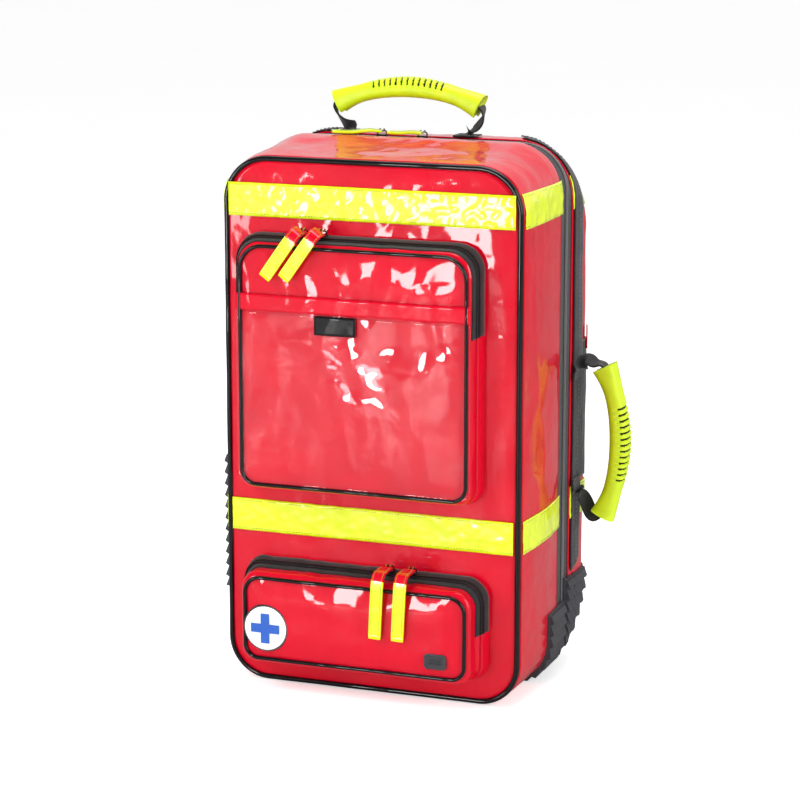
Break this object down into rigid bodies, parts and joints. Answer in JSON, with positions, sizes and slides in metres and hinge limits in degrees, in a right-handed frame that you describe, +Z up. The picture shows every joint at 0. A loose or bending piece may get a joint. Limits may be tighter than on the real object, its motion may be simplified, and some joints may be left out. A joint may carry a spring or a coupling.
{
  "type": "trauma backpack",
  "caption": "Upright tarpaulin rescue backpack with a clamshell main compartment, two front pockets, two rubber grip handles, corner guards and a folding harness.",
  "frame": {"origin": "centre of the base, on the floor", "axes": "+X to the right seen from the front, +Y towards the wearer's back, +Z up"},
  "size_m": [0.414, 0.3114, 0.656],
  "materials": {
    "red_tarpaulin": "glossy PVC-coated tarpaulin",
    "reflective_yellow": "glossy fluorescent reflective vinyl",
    "yellow_rubber": "satin moulded rubber",
    "black_cord": "glossy piping",
    "black_tape": "woven tape",
    "black_webbing": "woven polyamide webbing",
    "black_vinyl": "glossy tarpaulin",
    "guard_rubber": "matt ribbed rubber",
    "clear_vinyl": "clear glossy vinyl",
    "foam": "closed-cell foam",
    "spacer_mesh": "spacer mesh",
    "stiffener": "smooth plastic sheet",
    "slider_metal": "black painted zinc",
    "pull_tab": "glossy tarpaulin tab",
    "buckle_plastic": "moulded acetal",
    "badge_white": "printed white disc"
  },
  "bodies": {
    "rear_half": {"back_panel": "red_tarpaulin", "back_pads": "spacer_mesh", "frame_sheet": "stiffener", "rear_gusset": "red_tarpaulin", "rear_piping": "black_cord", "rear_zip_half": "black_tape", "rear_reflective_bands": "reflective_yellow", "side_bands": "black_webbing", "rear_corner_guards": "guard_rubber", "handle_patch": "black_vinyl", "retention_straps": "black_webbing", "strap_yoke": "black_vinyl", "lower_strap_webbings": "black_webbing"},
    "front_half": {"front_panel": "red_tarpaulin", "front_foam": "foam", "front_piping": "black_cord", "front_gusset": "red_tarpaulin", "front_zip_half": "black_tape", "front_reflective_bands": "reflective_yellow", "front_corner_guards": "guard_rubber", "side_skid": "guard_rubber", "lid_mesh_pocket": "spacer_mesh", "upper_pocket_gusset": "red_tarpaulin", "lower_pocket_shell": "red_tarpaulin", "upper_pocket_piping": "black_cord", "pocket_zip_tapes": "black_tape", "window": "clear_vinyl", "window_trim": "red_tarpaulin", "window_label": "black_vinyl"},
    "upper_flap": {"upper_pocket_flap": "red_tarpaulin", "upper_flap_zip": "black_tape"},
    "lower_flap": {"lower_pocket_flap": "red_tarpaulin", "lower_flap_zip": "black_tape", "badge_backing": "black_vinyl", "badge_disc": "badge_white", "maker_tag": "guard_rubber"},
    "top_handle": {"top_handle_grip": "yellow_rubber", "top_handle_webbing": "black_webbing"},
    "side_handle": {"side_handle_grip": "yellow_rubber", "side_handle_webbing": "black_webbing"},
    "main_left_slider": {"main_left_slider": "slider_metal"},
    "main_left_pull": {"main_left_pull": "pull_tab"},
    "main_right_slider": {"main_right_slider": "slider_metal"},
    "main_right_pull": {"main_right_pull": "pull_tab"},
    "upper_left_slider": {"upper_left_slider": "slider_metal"},
    "upper_left_pull": {"upper_left_pull": "pull_tab"},
    "upper_right_slider": {"upper_right_slider": "slider_metal"},
    "upper_right_pull": {"upper_right_pull": "pull_tab"},
    "lower_left_slider": {"lower_left_slider": "slider_metal"},
    "lower_left_pull": {"lower_left_pull": "pull_tab"},
    "lower_right_slider": {"lower_right_slider": "slider_metal"},
    "lower_right_pull": {"lower_right_pull": "pull_tab"},
    "shoulder_strap_left": {"shoulder_strap_left": "spacer_mesh", "ladder_lock_left": "buckle_plastic"},
    "sternum_strap_left": {"sternum_strap_left": "black_webbing"},
    "waist_belt_left": {"waist_belt_left": "spacer_mesh"},
    "shoulder_strap_right": {"shoulder_strap_right": "spacer_mesh", "ladder_lock_right": "buckle_plastic"},
    "sternum_strap_right": {"sternum_strap_right": "black_webbing"},
    "waist_belt_right": {"waist_belt_right": "spacer_mesh"}
  },
  "joints": [
    {"name": "lid_hinge", "type": "hinge", "parent": "rear_half", "child": "front_half", "pos_m": [0, 0.035, 0], "axis": [1, 0, 0], "range_deg": [0, 160]},
    {"name": "upper_flap_hinge", "type": "hinge", "parent": "front_half", "child": "upper_flap", "pos_m": [0, -0.145, 0.441], "axis": [1, 0, 0], "range_deg": [0, 85]},
    {"name": "lower_flap_hinge", "type": "hinge", "parent": "front_half", "child": "lower_flap", "pos_m": [0, -0.159, 0.043], "axis": [1, 0, 0], "range_deg": [0, 85]},
    {"name": "main_left_slide", "type": "slide", "parent": "rear_half", "child": "main_left_slider", "axis": [1, 0, 0], "range_m": [-0.07, 0]},
    {"name": "main_left_pull_hinge", "type": "hinge", "parent": "main_left_slider", "child": "main_left_pull", "pos_m": [-0.046, 0.035, 0.5984], "axis": [1, 0, 0], "range_deg": [-85, 0]},
    {"name": "main_right_slide", "type": "slide", "parent": "rear_half", "child": "main_right_slider", "axis": [1, 0, 0], "range_m": [0, 0.112]},
    {"name": "main_right_pull_hinge", "type": "hinge", "parent": "main_right_slider", "child": "main_right_pull", "pos_m": [0.002, 0.035, 0.5984], "axis": [1, 0, 0], "range_deg": [-85, 0]},
    {"name": "upper_left_slide", "type": "slide", "parent": "upper_flap", "child": "upper_left_slider", "axis": [1, 0, 0], "range_m": [-0.05, 0]},
    {"name": "upper_left_pull_hinge", "type": "hinge", "parent": "upper_left_slider", "child": "upper_left_pull", "pos_m": [-0.07, -0.1342, 0.5093], "axis": [1, 0, 0], "range_deg": [-110, 0]},
    {"name": "upper_right_slide", "type": "slide", "parent": "upper_flap", "child": "upper_right_slider", "axis": [1, 0, 0], "range_m": [0, 0.14]},
    {"name": "upper_right_pull_hinge", "type": "hinge", "parent": "upper_right_slider", "child": "upper_right_pull", "pos_m": [-0.048, -0.1342, 0.5093], "axis": [1, 0, 0], "range_deg": [-110, 0]},
    {"name": "lower_left_slide", "type": "slide", "parent": "lower_flap", "child": "lower_left_slider", "axis": [1, 0, 0], "range_m": [-0.135, 0]},
    {"name": "lower_left_pull_hinge", "type": "hinge", "parent": "lower_left_slider", "child": "lower_left_pull", "pos_m": [0.028, -0.1342, 0.1493], "axis": [1, 0, 0], "range_deg": [-110, 0]},
    {"name": "lower_right_slide", "type": "slide", "parent": "lower_flap", "child": "lower_right_slider", "axis": [1, 0, 0], "range_m": [0, 0.052]},
    {"name": "lower_right_pull_hinge", "type": "hinge", "parent": "lower_right_slider", "child": "lower_right_pull", "pos_m": [0.054, -0.1342, 0.1493], "axis": [1, 0, 0], "range_deg": [-110, 0]},
    {"name": "top_handle_fold", "type": "hinge", "parent": "rear_half", "child": "top_handle", "pos_m": [-0.024, 0.062, 0.6025], "axis": [1, 0, 0], "range_deg": [-80, 50]},
    {"name": "side_handle_fold", "type": "hinge", "parent": "rear_half", "child": "side_handle", "pos_m": [0.1835, 0.064, 0.26], "axis": [0, 0, 1], "range_deg": [-50, 75]},
    {"name": "shoulder_strap_left_hinge", "type": "hinge", "parent": "rear_half", "child": "shoulder_strap_left", "pos_m": [-0.062, 0.1345, 0.522], "axis": [1, 0, 0], "range_deg": [0, 35]},
    {"name": "sternum_strap_left_hinge", "type": "hinge", "parent": "shoulder_strap_left", "child": "sternum_strap_left", "pos_m": [-0.025, 0.1345, 0.42], "axis": [0, 0, 1], "range_deg": [0, 90]},
    {"name": "waist_belt_left_hinge", "type": "hinge", "parent": "rear_half", "child": "waist_belt_left", "pos_m": [-0.142, 0.137, 0.112], "axis": [0, 0, 1], "range_deg": [0, 120]},
    {"name": "shoulder_strap_right_hinge", "type": "hinge", "parent": "rear_half", "child": "shoulder_strap_right", "pos_m": [0.062, 0.1345, 0.522], "axis": [1, 0, 0], "range_deg": [0, 35]},
    {"name": "sternum_strap_right_hinge", "type": "hinge", "parent": "shoulder_strap_right", "child": "sternum_strap_right", "pos_m": [0.025, 0.1345, 0.42], "axis": [0, 0, -1], "range_deg": [0, 90]},
    {"name": "waist_belt_right_hinge", "type": "hinge", "parent": "rear_half", "child": "waist_belt_right", "pos_m": [0.142, 0.137, 0.112], "axis": [0, 0, -1], "range_deg": [0, 120]}
  ]
}
